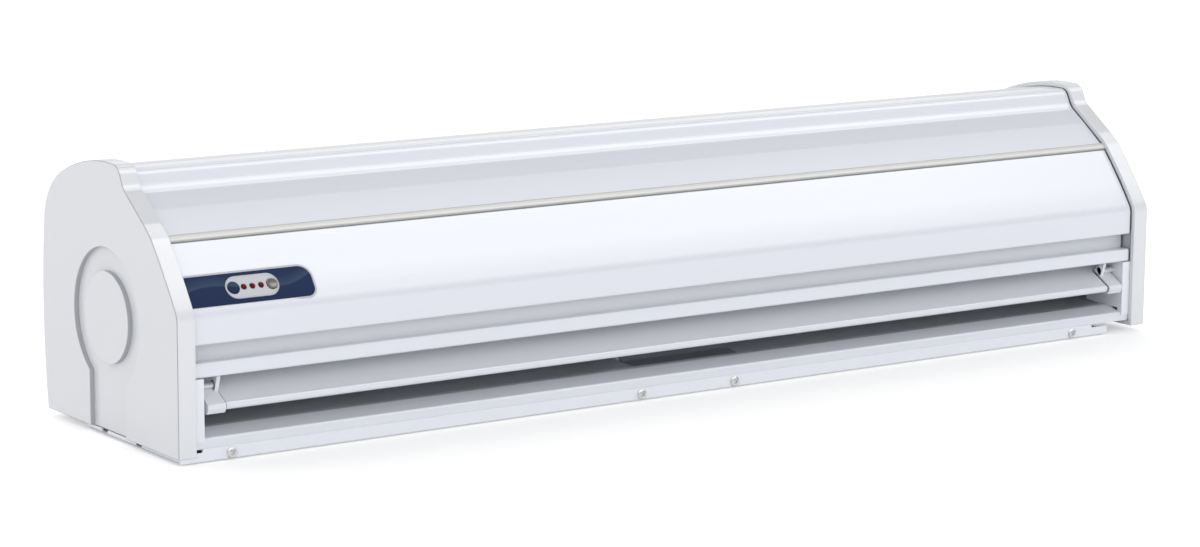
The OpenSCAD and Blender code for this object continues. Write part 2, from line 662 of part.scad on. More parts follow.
module receiver_window() color([0.08, 0.1, 0.25]) on_panel(window_x, 0, -0.6)
    cylinder(h = 2.5, r = window_r);
module indicator_lamps() color([0.6, 0.05, 0.05]) for (x = lamp_x)
    on_panel(x, 0, -board_h) {
        cylinder(h = board_h + 0.4, r = lamp_r);
        translate([0, 0, board_h + 0.4]) sphere(r = lamp_r);
    }
module indicator_board() color([0.1, 0.4, 0.2]) difference() {
    on_panel(-board_post_x - 4, -7, -board_h - 1.6) cube([2 * board_post_x + 8, 14, 1.6]);
    for (s = [-1, 1])
        on_panel(s * board_post_x, 0, -board_h - 3) cylinder(h = 4, r = 1 + hole_gap);
}
module button_switch() color(dark) on_panel(button_x, 0, -board_h) {
    translate([-3, -3, 0]) cube([6, 6, 1.6]);
    cylinder(h = board_h + button_h0 - button_travel - 0.1, r = 1.75);
}
module power_button() color([0.82, 0.82, 0.82]) on_panel(button_x, 0, button_h0)
    difference() {
        union() {
            cylinder(h = 2.1 - button_h0, r = button_r);
            cylinder(h = 1, r = button_r + 0.8);
        }
        translate([0, 0, 2.1 - button_h0 + 7]) sphere(r = 8);
    }

// ---- Fasteners ----
module plate_screws() color(steel) for (x = plate_screw_x)
    at(x, lip_u - plate_t, 0) rotate([90, 0, 0]) screw(screw_r, 10, 4);
module case_screws() color(steel) {
    frame_screw_places() rotate([180, 0, 0]) screw(screw_r, 7, 4);
    for (s = [0, 1]) mirror([s, 0, 0]) cap_screw_places() rotate([180, 0, 0])
        screw(screw_r, 8, 4);
}
module grille_screws() color(steel) grille_screw_places() screw(screw_r, 8, 3.6);
module motor_screws() color(steel) {
    bracket_screw_places() rotate([180, 0, 0]) screw(screw_r, 6, 4);
    clamp_screw_places() translate([0, 0, 2]) screw(1.5, 10, 2.4);
}

wall_plate();
base_pan();
lower_front_panel();
hood();
trim_strip();
left_end_cap();
right_end_cap();
intake_grille();
left_side_frame();
right_side_frame();
left_outlet_cheek();
right_outlet_cheek();
left_scroll_casing();
right_scroll_casing();
vortex_tongue();
left_motor_bulkhead();
right_motor_bulkhead();
motor_bay_cover();
vane_blade();
left_vane_clip();
right_vane_clip();
vane_pivot_pins();
motor_bracket();
motor_clamps();
motor_rubber_rings();
left_motor_shell();
right_motor_shell();
motor_stator();
motor_bearings();
motor_rotor();
motor_shaft();
left_impeller();
right_impeller();
left_stub_shaft();
right_stub_shaft();
impeller_set_screws();
left_bearing();
right_bearing();
left_bearing_holder();
right_bearing_holder();
electrical_box();
electrical_box_lid();
control_board();
transformer();
relays();
run_capacitor();
terminal_block();
motor_lead();
cable_gland();
indicator_board();
button_switch();
control_overlay();
indicator_bezel();
receiver_window();
indicator_lamps();
power_button();
plate_screws();
case_screws();
grille_screws();
motor_screws();
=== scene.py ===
"""Looks of the air curtain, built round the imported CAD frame.

Section points are complex numbers u + v*1j in mm: u is the depth behind the
front of the end caps, v the height above their bottom. x runs along the unit.
"""

import cmath
import json
from math import acos, ceil, cos, degrees, pi, radians, sin, sqrt, tan

import bmesh
import bpy
from mathutils import Matrix, Vector


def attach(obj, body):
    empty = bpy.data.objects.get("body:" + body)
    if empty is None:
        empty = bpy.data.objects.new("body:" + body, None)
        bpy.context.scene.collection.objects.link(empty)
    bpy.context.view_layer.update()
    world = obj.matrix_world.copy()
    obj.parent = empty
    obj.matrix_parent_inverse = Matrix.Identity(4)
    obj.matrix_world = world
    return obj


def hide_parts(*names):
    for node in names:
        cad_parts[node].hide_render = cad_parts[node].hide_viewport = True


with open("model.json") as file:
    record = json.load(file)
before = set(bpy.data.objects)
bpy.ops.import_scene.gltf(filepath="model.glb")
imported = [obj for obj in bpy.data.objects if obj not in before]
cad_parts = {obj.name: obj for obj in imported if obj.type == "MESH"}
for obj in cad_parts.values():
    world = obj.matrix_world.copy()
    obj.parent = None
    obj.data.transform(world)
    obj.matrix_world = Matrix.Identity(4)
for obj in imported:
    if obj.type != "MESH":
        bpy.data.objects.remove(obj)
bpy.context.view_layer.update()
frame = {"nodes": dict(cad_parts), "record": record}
nodes = frame["nodes"]

# --------------------------------------------------------------------- camera
# Focal length in pixels at the picture's width, and the camera's place in metres
FOCAL_PX, PICTURE_W = 3347, 1200
CAMERA_PLACE = (-1.4897, -2.0773, 0.5297)
AZ, EL, ROLL = radians(-35.10), radians(10.10), radians(0.43)
back = Vector((sin(AZ) * cos(EL), -cos(AZ) * cos(EL), sin(EL)))
right = (-back).cross(Vector((0, 0, 1))).normalized()
up = right.cross(-back)
cam_x = cos(ROLL) * right + sin(ROLL) * up
cam_y = cos(ROLL) * up - sin(ROLL) * right
cam_data = bpy.data.cameras.new("camera")
cam_data.sensor_width = 36
cam_data.lens = FOCAL_PX / PICTURE_W * 36
cam = bpy.data.objects.new("camera", cam_data)
bpy.context.collection.objects.link(cam)
cam.matrix_world = Matrix.Translation(CAMERA_PLACE) @ Matrix(
    (cam_x, cam_y, back)).transposed().to_4x4()
bpy.context.scene.camera = cam

# ---------------------------------------------------------------- sizes in mm
# Half lengths of the unit, of the space between the caps and of the panels
HALF, PANEL_X, PANEL_END = 450.0, 436.0, 434.6
DEPTH = 205.391
# Height of the caps' bottom over the wall, and how far the panels lie inside the caps' outline
LIFT, REVEAL = 4.0, 4.0
# Width of a cap and its wall
CAP_W, CAP_WALL = 14, 3.8
# Thickness of the panels, of the pan's front and of the inner sheets
PANEL_T, SKIRT_T, SHEET_T = 1.6, 1.5, 1.2
# Depth of the skirt's face, height of the pan's floor and depth of its back
SKIRT_U, PAN_V, PAN_BACK = 4.3, 4.6, 197
# Height of the casings' feet, just under the outlet's rising lip
FOOT_V = 14.65
CHEEK_W, BAY_X = 8, 50
HOOK_X = (-300, 0, 300)
# The fan's axis and the vane's pivot in the section
AXIS, PIVOT = 106 + 82j, 16 + 46j
CASE = [(0, 0, 1.2), (0, 98.8, 15), (16.8, 124.4, 420), (36.8, 148.3, 22), (46.6, 156.05, 60),
        (76.6, 177.3, 14), (83.8, 191.95, 12), (133.5, 194.7, 174), (198.6, 165.2, 47.5),
        (209.2, 73.6, 559), (200.6, 0, 1.2)]


# ---------------------------------------------------------------- 2D outlines
def unit(z):
    return z / abs(z)


def corners_of(path):
    return [(complex(*p[:2]), p[2] if len(p) > 2 else 0.0) for p in path]


def rounded(path, closed=False):
    """The line through (u, v, radius) corners, each rounded to its radius."""
    pts, out, n = corners_of(path), [], len(path)
    for i, (p, r) in enumerate(pts):
        if r <= 0 or (not closed and i in (0, n - 1)):
            out.append(p)
            continue
        e1, e2 = unit(p - pts[i - 1][0]), unit(pts[(i + 1) % n][0] - p)
        turn = cmath.phase(e2 / e1)
        side = 1j * e1 * (r if turn > 0 else -r)
        centre = p - e1 * r * tan(abs(turn) / 2) + side
        k = max(3, ceil(degrees(abs(turn)) / (1.2 if r > 30 else 6)))
        out += [centre - side * cmath.exp(1j * turn * j / k) for j in range(k + 1)]
    return out


def shift(path, d, closed=False):
    """Corners moved by d to the right of their line, with radii to match."""
    pts, out, n = corners_of(path), [], len(path)
    for i, (p, r) in enumerate(pts):
        e1 = unit(p - pts[i - 1][0]) if closed or i else None
        e2 = unit(pts[(i + 1) % n][0] - p) if closed or i < n - 1 else e1
        e1 = e2 if e1 is None else e1
        q = p - 1j * d * (e1 + e2) / (1 + (e1 * e2.conjugate()).real)
        if r:
            r = max(r - d, 0.08) if cmath.phase(e2 / e1) < 0 else r + d
        out.append((q.real, q.imag, r))
    return out


def arc(centre, r, a0, a1, k):
    """Points about centre from angle a0 to a1, in degrees, in k steps."""
    return [centre + r * cmath.exp(1j * radians(a0 + (a1 - a0) * j / k)) for j in range(k + 1)]


def uv(points):
    return [(z.real, z.imag) for z in points]


def case_ring(d):
    return rounded(shift(CASE, d, closed=True), closed=True)


def corner_centre(i):
    """Centre of the arc at corner i of the case."""
    a, p, b = (complex(*CASE[j][:2]) for j in (i - 1, i, i + 1))
    ua, ub = unit(a - p), unit(b - p)
    return p + unit(ua + ub) * CASE[i][2] / sin(abs(cmath.phase(ub / ua)) / 2)


def edge_angle(i):
    """Angle in degrees of the outward normal between corners i and i + 1."""
    return degrees(cmath.phase(1j * (complex(*CASE[i + 1][:2]) - complex(*CASE[i][:2]))))


INSET = shift(CASE, REVEAL, closed=True)
FRONT_C, BACK_C = corner_centre(2), corner_centre(9)
FRONT_R, BACK_R = CASE[2][2] - REVEAL, CASE[9][2] - REVEAL
PANEL_A, BEZEL_X = 145.04, -384.8
TRIM_P = complex(*INSET[3][:2])
TRIM_A = (edge_angle(2) + edge_angle(3)) / 2
TRIM_DIR = cmath.exp(1j * radians(TRIM_A))
TRIM_STEP = 3.2 / cos(radians(TRIM_A - edge_angle(3)))


def back_angle(v):
    return degrees(cmath.phase(complex(sqrt(BACK_R ** 2 - (v - BACK_C.imag) ** 2),
                                       v - BACK_C.imag)))


def stadium(length, height, k=16):
    r, c = height / 2, (length - height) / 2
    return arc(complex(c, 0), r, -90, 90, k) + arc(complex(-c, 0), r, 90, 270, k)


# --------------------------------------------------------------- mesh building
def point(x, z):
    """The row-frame point, in mm, of x and a section point."""
    return Vector((x, z.real - DEPTH / 2, z.imag + LIFT))


def axes(x, z, angle):
    """Frame at a section point: local Z leaves at that section angle, local X runs along x."""
    out = Vector((0, cos(radians(angle)), sin(radians(angle))))
    side = Vector((1, 0, 0))
    m = Matrix((side, out.cross(side), out)).transposed().to_4x4()
    m.translation = point(x, z)
    return m


def on_panel(x, s=0.0, h=0.0):
    """Frame on the slanted front, over the tangent plane at the bezel."""
    z = FRONT_C + cmath.exp(1j * radians(PANEL_A)) * (FRONT_R + h - 1j * s)
    return axes(BEZEL_X + x, z, PANEL_A)


def fillet(e, k=4):
    """(inset, depth) steps of a rounded edge of radius e, from the face outwards."""
    return [(e * (1 - sin(pi / 2 * i / k)), e * (1 - cos(pi / 2 * i / k))) for i in range(k + 1)]


class Shape:
    """A mesh being built, in mm in the row frame."""

    def __init__(self):
        self.bm = bmesh.new()

    def verts(self, points):
        return [self.bm.verts.new(p) for p in points]

    def row(self, x, line):
        return self.verts(point(x, z) for z in line)

    def face(self, verts):
        verts = list(dict.fromkeys(verts))
        if len(verts) > 2:
            self.bm.faces.new(verts)

    def band(self, a, b, closed=True):
        for i in range(len(a) if closed else len(a) - 1):
            j = (i + 1) % len(a)
            self.face([a[i], a[j], b[j], b[i]])

    def loft(self, rows, closed=True, ends=True):
        for a, b in zip(rows, rows[1:]):
            self.band(a, b, closed)
        if ends:
            self.face(rows[0])
            self.face(rows[-1])

    def prism(self, path, x0, x1, edge=0.0, closed=True):
        """A solid bar along x with an outline of corners and rounded end edges."""
        steps = [(0, x0), (0, x1)]
        if edge:
            steps = [(d, x0 + h) for d, h in fillet(edge)] + [(d, x1 - h) for d, h in fillet(edge)[::-1]]
        self.loft([self.row(x, rounded(shift(path, d, True), True)) for d, x in steps])

    def sheet(self, path, t, x0, x1):
        """Formed sheet along x with its outer face on a line, and its thickness to the right."""
        outer, inner = rounded(path), rounded(shift(path, t))
        a, b = self.row(x0, outer), self.row(x1, outer)
        c, d = self.row(x0, inner), self.row(x1, inner)
        for p, q in ((a, b), (d, c), (a, c), (d, b)):
            self.band(p, q, closed=False)
        for i in (0, -1):
            self.face([a[i], b[i], d[i], c[i]])

    def lathe(self, place, profile, n=48, bored=False):
        """Turned solid about local Z of a place through (radius, height) points."""
        turns = [2 * pi * i / n for i in range(n)]
        rows = []
        for r, h in profile:
            if r < 1e-6:
                rows.append([self.bm.verts.new(place @ Vector((0, 0, h)))] * n)
            else:
                rows.append(self.verts(place @ Vector((r * cos(a), r * sin(a), h)) for a in turns))
        self.loft(rows + rows[:1] if bored else rows, ends=not bored)

    def plate(self, loops, z0, z1, put, edge=0.0, cuts=()):
        """Flat plate with holes: loops of x + y*1j, from height z0 to z1, its edges
        rounded, cut along lines of equal y, then put in place by a function."""
        curve = bpy.data.curves.new("outline", "CURVE")
        curve.dimensions, curve.fill_mode = "2D", "BOTH"
        curve.extrude = (z1 - z0) / 2 - edge
        curve.bevel_depth, curve.offset, curve.bevel_resolution = edge, -edge, 2
        for loop in loops:
            spline = curve.splines.new("POLY")
            spline.points.add(len(loop) - 1)
            for p, z in zip(spline.points, loop):
                p.co = (z.real, z.imag, 0, 1)
            spline.use_cyclic_u = True
        holder = bpy.data.objects.new("outline", curve)
        mesh = bpy.data.meshes.new_from_object(holder)
        bpy.data.objects.remove(holder)
        part = bmesh.new()
        part.from_mesh(mesh)
        bmesh.ops.remove_doubles(part, verts=part.verts, dist=1e-4)
        for y in cuts:
            bmesh.ops.bisect_plane(part, geom=part.verts[:] + part.edges[:] + part.faces[:],
                                   plane_co=(0, y, 0), plane_no=(0, 1, 0))
        part.normal_update()
        new = {}
        for v in part.verts:
            new[v] = self.bm.verts.new(put(v.co.x, v.co.y, v.co.z + (z0 + z1) / 2))
        for f in part.faces:
            self.face([new[v] for v in f.verts])
        for e in part.edges:
            level = [abs(f.normal.z) > 0.999 for f in e.link_faces]
            if any(level) and not all(level):
                self.bm.edges.get([new[v] for v in e.verts]).smooth = False
        part.free()

    def object(self, name):
        bm = self.bm
        bmesh.ops.scale(bm, vec=(0.001,) * 3, verts=bm.verts)
        bmesh.ops.recalc_face_normals(bm, faces=bm.faces)
        mesh = bpy.data.meshes.new(name)
        bm.to_mesh(mesh)
        bm.free()
        obj = bpy.data.objects.new(name, mesh)
        bpy.context.collection.objects.link(obj)
        return obj

    def done(self, name, finish, replaces=(), body="case", cut=(), bevel=0.0, sharp=32):
        obj = self.object(name)
        for shape in cut:
            tool = shape.object("tool")
            mod = obj.modifiers.new("cut", "BOOLEAN")
            mod.object, mod.solver, mod.use_self = tool, "EXACT", True
            mesh = bpy.data.meshes.new_from_object(
                obj.evaluated_get(bpy.context.evaluated_depsgraph_get()))
            obj.modifiers.clear()
            obj.data = mesh
            bpy.data.objects.remove(tool)
        bm = bmesh.new()
        bm.from_mesh(obj.data)
        for f in bm.faces:
            f.smooth = True
        for e in bm.edges:
            if not bevel and len(e.link_faces) == 2 and e.calc_face_angle() > radians(sharp):
                e.smooth = False
        bm.to_mesh(obj.data)
        bm.free()
        obj.data.materials.clear()
        obj.data.materials.append(finish)
        if bevel:
            mod = obj.modifiers.new("edges", "BEVEL")
            mod.width, mod.segments = bevel / 1000, 3
            mod.limit_method, mod.angle_limit = "ANGLE", radians(sharp)
        mod = obj.modifiers.new("normals", "WEIGHTED_NORMAL")
        mod.keep_sharp = True
        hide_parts(*replaces)
        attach(obj, body)
        return obj


# ------------------------------------------------------------------ materials
def material(name, color, rough, coat=0.0, metal=0.0, grain=0.0, scale=400.0, vary=0.0, ior=1.5,
             gloss=0.5):
    """A finish with a fine surface grain and a slight unevenness of its gloss."""
    m = bpy.data.materials.new(name)
    m["slot"] = name
    m.use_nodes = True
    nt = m.node_tree
    b = nt.nodes["Principled BSDF"]
    b.inputs["Base Color"].default_value = (*color, 1)
    b.inputs["Roughness"].default_value = rough
    b.inputs["Metallic"].default_value = metal
    b.inputs["Coat Weight"].default_value = coat
    b.inputs["Coat Roughness"].default_value = 0.05
    b.inputs["IOR"].default_value = ior
    b.inputs["Specular IOR Level"].default_value = gloss
    coords = nt.nodes.new("ShaderNodeTexCoord")
    if vary:
        noise = nt.nodes.new("ShaderNodeTexNoise")
        noise.inputs["Scale"].default_value = 14.0
        noise.inputs["Detail"].default_value = 4.0
        nt.links.new(coords.outputs["Object"], noise.inputs["Vector"])
        span = nt.nodes.new("ShaderNodeMapRange")
        span.inputs["To Min"].default_value = rough - vary
        span.inputs["To Max"].default_value = rough + vary
        nt.links.new(noise.outputs["Fac"], span.inputs["Value"])
        nt.links.new(span.outputs["Result"], b.inputs["Roughness"])
    if grain:
        fine = nt.nodes.new("ShaderNodeTexNoise")
        fine.inputs["Scale"].default_value = scale
        fine.inputs["Detail"].default_value = 3.0
        nt.links.new(coords.outputs["Object"], fine.inputs["Vector"])
        bump = nt.nodes.new("ShaderNodeBump")
        bump.inputs["Strength"].default_value = grain
        bump.inputs["Distance"].default_value = 0.0002
        nt.links.new(fine.outputs["Fac"], bump.inputs["Height"])
        nt.links.new(bump.outputs["Normal"], b.inputs["Normal"])
    return m


# The darker airway, bay, cap-edge and groove finishes below are painted shade. They are
# darker than the finish of their own slot and stand in for shade that the light here
# doesn't give, not for a known material.
CAP = material("cap_white", (0.69, 0.706, 0.738), 0.11, grain=0.006, scale=900, vary=0.015, ior=1.7)
PAINT = material("panel_white", (0.70, 0.722, 0.785), 0.09, grain=0.005, scale=250, vary=0.015, ior=1.7)
DUCT = material("duct_white", (0.75, 0.77, 0.825), 0.2, grain=0.02, scale=300, vary=0.04, ior=1.6)
AIRWAY_SHADE = material("duct_white", (0.46, 0.48, 0.515), 0.35, grain=0.03, scale=300, vary=0.05)
BAY_SHADE = material("duct_white", (0.20, 0.21, 0.235), 0.5, grain=0.03, scale=300, vary=0.05, gloss=0.2)
SHADE = material("cap_white", (0.42, 0.43, 0.45), 0.3, grain=0.01, scale=500, vary=0.03)
GROOVE_SHADE = material("panel_white", (0.575, 0.59, 0.62), 0.4, grain=0.01, scale=500, vary=0.03, gloss=0.3)
VANE = material("vane_white", (0.70, 0.72, 0.77), 0.16, grain=0.01, scale=500, vary=0.03, ior=1.6)
IVORY = material("trim_ivory", (0.50, 0.505, 0.485), 0.17, grain=0.02, scale=500, vary=0.03, ior=1.9)
ZINC = material("galvanised", (0.55, 0.56, 0.58), 0.42, metal=0.9, grain=0.1, scale=120, vary=0.1)
STEEL = material("steel", (0.82, 0.82, 0.83), 0.38, metal=0.75, grain=0.03, vary=0.05)
NICKEL = material("steel", (0.78, 0.78, 0.79), 0.33, metal=0.55, grain=0.03, vary=0.05, ior=1.7)
ALLOY = material("motor_alloy", (0.62, 0.63, 0.65), 0.45, metal=0.9, grain=0.15, scale=200, vary=0.08)
FAN = material("fan_alloy", (0.68, 0.69, 0.71), 0.36, metal=0.9, grain=0.05, vary=0.08)
IRON = material("iron", (0.10, 0.07, 0.05), 0.5, metal=0.4, grain=0.2, vary=0.1)
BRONZE = material("bronze", (0.45, 0.28, 0.10), 0.4, metal=0.9, grain=0.1, vary=0.1)
RUBBER = material("rubber", (0.02, 0.02, 0.022), 0.7, grain=0.1, vary=0.08)
GREEN = material("board_green", (0.02, 0.12, 0.05), 0.4, grain=0.05, vary=0.05)
BLUE = material("relay_blue", (0.03, 0.12, 0.35), 0.4, grain=0.05, vary=0.05)
BLACK = material("black_plastic", (0.02, 0.02, 0.022), 0.5, grain=0.1, vary=0.06)
TERMINAL = material("terminal_white", (0.7, 0.7, 0.66), 0.45, grain=0.05, vary=0.05)
NAVY = material("overlay_navy", (0.009, 0.021, 0.068), 0.35, grain=0.01, vary=0.03, gloss=0.1)
RIM = material("bezel_silver", (0.47, 0.49, 0.53), 0.35, grain=0.02, vary=0.04, gloss=0.2)
BEZEL = material("bezel_silver", (0.50, 0.515, 0.555), 0.35, grain=0.03, vary=0.04, gloss=0.4)
WINDOW = material("window_blue", (0.012, 0.02, 0.07), 0.2, vary=0.02, gloss=0.1)
LAMP = material("lamp_red", (0.13, 0.004, 0.010), 0.2, vary=0.03, gloss=0.12)
BUTTON = material("button_silver", (0.20, 0.19, 0.18), 0.25, metal=0.35, grain=0.03, vary=0.04)


def add_wave(m):
    """A lighter band over a curve along the control panel, fading upwards."""
    nt = m.node_tree
    b = nt.nodes["Principled BSDF"]

    def math(kind, a, c):
        node = nt.nodes.new("ShaderNodeMath")
        node.operation = kind
        for socket, value in zip(node.inputs, (a, c)):
            if isinstance(value, (int, float)):
                socket.default_value = value
            else:
                nt.links.new(value, socket)
        return node.outputs[0]

    coords = nt.nodes.new("ShaderNodeTexCoord")
    split = nt.nodes.new("ShaderNodeSeparateXYZ")
    nt.links.new(coords.outputs["Object"], split.inputs[0])
    along = math("MULTIPLY_ADD", split.outputs["X"], 10)
    along.node.inputs[2].default_value = 0.5 - BEZEL_X / 100
    up = math("MULTIPLY_ADD", split.outputs["Z"], 1000 / sin(radians(PANEL_A - 90)) / 30)
    up.node.inputs[2].default_value = 0.5 - PANEL_Z / sin(radians(PANEL_A - 90)) / 30
    curve = nt.nodes.new("ShaderNodeFloatCurve")
    for x, y in WAVE:
        curve.mapping.curves[0].points.new(0.5 + x / 100, 0.5 + y / 30)
    ends = curve.mapping.curves[0].points
    ends[0].location, ends[len(ends) - 1].location = (-0.01, 0.45), (1.0, 0.72)
    curve.mapping.update()
    nt.links.new(along, curve.inputs["Value"])
    over = math("SUBTRACT", up, curve.outputs[0])
    edge = math("MULTIPLY", over, 60)
    edge.node.use_clamp = True
    fade = math("MULTIPLY_ADD", over, -3.6)
    fade.node.inputs[2].default_value = 1.0
    fade.node.use_clamp = True
    mix = nt.nodes.new("ShaderNodeMix")
    mix.data_type = "RGBA"
    nt.links.new(math("MULTIPLY", edge, fade), mix.inputs["Factor"])
    mix.inputs[6].default_value = b.inputs["Base Color"].default_value
    mix.inputs[7].default_value = (0.032, 0.060, 0.105, 1)
    nt.links.new(mix.outputs[2], b.inputs["Base Color"])


# The band's lower edge in mm along and across the control panel
WAVE = [(-50, -0.1), (-40.3, 2.5), (-31, 3.1), (-22, 2.5), (0, -0.6), (20.5, -1.9), (26.2, -1.6),
        (32, -0.5), (38.4, 1.6), (46, 5.1)]
PANEL_Z = on_panel(0).translation.z
add_wave(NAVY)
FINISH = {m["slot"]: m for m in (
    CAP, PAINT, DUCT, VANE, IVORY, ZINC, STEEL, ALLOY, FAN, IRON, BRONZE, RUBBER, GREEN, BLUE,
    BLACK, TERMINAL, NAVY, BEZEL, WINDOW, LAMP, BUTTON)}

for part in frame["record"]["subparts"]:
    node = nodes[part["node"]]
    node.data.materials.clear()
    node.data.materials.append(FINISH[part["material_slot"]])
# Painted shade: the motor bulkheads inside the outlet take the darker airway grey.
for name in ("left_motor_bulkhead", "right_motor_bulkhead"):
    nodes[name].data.materials[0] = AIRWAY_SHADE

# ------------------------------------------------------------------- end caps
KEY_R, KEY_W, DISC_R, RECESS, EDGE = 50.0, 27.5, 33.0, 4.0, 0.6


def keyhole(d):
    """Keyhole outline grown by d, from its rear foot round to its front foot."""
    a = degrees(acos((KEY_W + d) / (KEY_R + d)))
    feet = [complex(AXIS.real + w, d) for w in (KEY_W + d, -KEY_W - d)]
    return feet[:1] + arc(AXIS, KEY_R + d, -a, 180 + a, 120) + feet[1:]


def section_place(p):
    """Section coordinates of a point given in mm."""
    return complex(p.y + DEPTH / 2, p.z - LIFT)


def shade_faces(obj, finish, wanted):
    """Gives the faces picked by a test of centre and normal a second material; here that is always a darker
    grey of painted shade.
    """
    obj.data.materials.append(finish)
    for f in obj.data.polygons:
        if wanted(f.center * 1000, f.normal):
            f.material_index = 1


def end_cap(name, node, side):
    cap = Shape()

    def row(depth, line):
        return cap.row(side * (HALF - depth), line)

    def hull(d):
        return case_ring(d) + [complex(AXIS.real + KEY_W, d), complex(AXIS.real - KEY_W, d)]

    n = len(case_ring(0))
    face = [row(h, case_ring(d) + keyhole(d)) for d, h in fillet(EDGE)]
    face.append(row(RECESS, case_ring(0) + keyhole(0)))
    cap.loft(face, ends=False)
    cap.face(face[0])
    foot = face[-1][n:]
    a = degrees(acos(KEY_W / KEY_R))
    line = arc(AXIS, DISC_R, -a, 180 + a, 120) + arc(AXIS, DISC_R, 180 + a, 360 - a, 40)[1:-1]
    disc = [row(RECESS, line)] + [row(h, [AXIS + (z - AXIS) * (1 - d / DISC_R) for z in line])
                                  for d, h in fillet(EDGE)[::-1]]
    cap.loft(disc, ends=False)
    cap.face(disc[-1])
    cap.band(foot[1:-1], disc[0][:121], closed=False)
    cap.face([foot[0], foot[-1], foot[-2]] + disc[0][120:] + [disc[0][0], foot[1]])
    rim = [face[-1][:n] + [foot[0], foot[-1]]]
    rim += [row(CAP_W - h, hull(d)) for d, h in fillet(EDGE)[::-1]]
    rim += [row(CAP_W - h, hull(CAP_WALL - d)) for d, h in fillet(0.3)]
    rim += [row(7.2, hull(CAP_WALL))]
    cap.loft(rim, ends=False)
    cap.face(rim[-1])
    obj = cap.done(name, CAP, [node])

    # Painted shade: the edge fillets round the cap's face and the walls of its keyhole recess get a darker
    # grey.
    def in_shade(centre, normal):
        depth, z = HALF - abs(centre.x), section_place(centre)
        in_stem = abs(z.real - AXIS.real) < KEY_W + 1 and EDGE < z.imag < AXIS.imag
        if abs(z - AXIS) < KEY_R + 1 or in_stem:
            return EDGE < depth < RECESS and abs(normal.x) < 0.5
        return 0 < depth < EDGE and abs(normal.x) < 0.99
    shade_faces(obj, SHADE, in_shade)


end_cap("left_cap", "left_end_cap", -1)
end_cap("right_cap", "right_end_cap", 1)

# --------------------------------------------------------------------- panels
def on_back(a, h=0.0):
    return BACK_C + (BACK_R + h) * cmath.exp(1j * radians(a))


front_end = TRIM_P + TRIM_STEP * cmath.exp(1j * radians(edge_angle(2) + 90))
hood_start = TRIM_P + TRIM_STEP * cmath.exp(1j * radians(edge_angle(3) - 90))
FRONT_LINE = [(8.4, 54), (4.4, 54, 1.7), (4.4, 64.4, 1.7), (14, 64.4, 0.5), (14, 76.7, 0.5),
              (4, 76.7, 1.7), INSET[1], INSET[2], (front_end.real, front_end.imag, 0.9),
              *uv([front_end - 8 * TRIM_DIR])]
HOOD_LINE = [*uv([hood_start - 8 * TRIM_DIR]), (hood_start.real, hood_start.imag, 0.9), (62.9, 163, 60),
             *INSET[5:9], *uv(arc(BACK_C, BACK_R, edge_angle(8), back_angle(132) + 0.2, 6)),
             (*uv([on_back(back_angle(132))])[0], 1.7), (188, 132)]


def panel_point(x, s, h):
    """Row-frame point of a piece laid on the curved front."""
    out = cmath.exp(1j * (radians(PANEL_A) - s / FRONT_R))
    return point(BEZEL_X + x, FRONT_C + (FRONT_R + h) * out)


def flat_point(x, s, h):
    return on_panel(0) @ Vector((x, s, h))


front = Shape()
front.sheet(FRONT_LINE, PANEL_T, -PANEL_END, PANEL_END)
slot_tool = Shape()
slot_tool.plate([stadium(41, 15)], -4, 2, flat_point)


# Painted shade: the back of the groove in the front panel gets a darker, matt grey.
def in_groove_shade(centre, normal):
    z = section_place(centre)
    return z.real > 12 and 64 < z.imag < 77


shade_faces(front.done("front_panel", PAINT, ["lower_front_panel"], cut=[slot_tool]), GROOVE_SHADE, in_groove_shade)
hood = Shape()
hood.sheet(HOOD_LINE, PANEL_T, -PANEL_END, PANEL_END)
hood.done("upper_hood", PAINT, ["hood"])

trim = Shape()
bead = ([-2.2 - 8j, -2.75 - 1j] + arc(-2.05 + 0.62j, 0.7, 180, 100, 6) + arc(-10.5j, 12, 99.4, 80.6, 12)
        + arc(2.05 + 0.62j, 0.7, 80, 0, 6) + [2.75 - 1j, 2.2 - 8j])
trim.prism(uv([TRIM_P - 1j * TRIM_DIR * z for z in bead]), -PANEL_X, PANEL_X)
trim.done("trim_bead", IVORY, ["trim_strip"])

# ------------------------------------------------------------- outlet and vane
for side, word in ((-1, "left"), (1, "right")):
    cheek = Shape()
    cheek.prism([(3.6, 53.6, 0.3), (8.6, 53.6), (8.6, 60), (46, 60), (46, 16.7), (30, 14.95),
                 (8.8, 14.95), (8.8, 9.25), (3.6, 9.25, 0.3)],
                *sorted((side * PANEL_X, side * (PANEL_X - CHEEK_W))))
    cheek.done(word + "_cheek", DUCT, [word + "_outlet_cheek"], bevel=0.25)
    # Painted shade: the scroll casings take the darker airway grey.
    scroll = Shape()
    spiral = [AXIS + (62 - 0.6 * i) * cmath.exp(1j * radians(-95 + 6.5 * i)) for i in range(21)]
    scroll.sheet([(21, FOOT_V), (30, FOOT_V, 4)] + uv(spiral) + [(158, 114)], SHEET_T,
                 *sorted((side * (PANEL_X - 0.01), side * (BAY_X + SHEET_T))))
    scroll.done(word + "_scroll", AIRWAY_SHADE, [word + "_scroll_casing"])

# Painted shade: the tongue takes the darker airway grey too.
tongue = Shape()
tongue.sheet([(30, 92), (50, 92, 2), (59.5, 60.2, 3.6), (15.6, 61.2, 2), (15.6, 74)],
             SHEET_T, -PANEL_X, PANEL_X)
tongue.done("tongue", AIRWAY_SHADE, ["vortex_tongue"])
# Painted shade: the motor bay cover is near black, for the deep shade inside the outlet.
bay = Shape()
bay.sheet([(21, FOOT_V), (30, FOOT_V, 4), (44, 16.5, 8), (52, 22, 6), (56.4, 58)],
          SHEET_T, -BAY_X, BAY_X)
bay.done("bay_cover", BAY_SHADE, ["motor_bay_cover"])

NOSE, TILT = 6.1 + 33j, cmath.exp(1j * radians(30))


def in_vane(path):
    """Corners given in the vane's own frame, moved to the section."""
    out = []
    for u, v, *r in path:
        z = NOSE + TILT * complex(u, v)
        out.append((z.real, z.imag, *r))
    return out


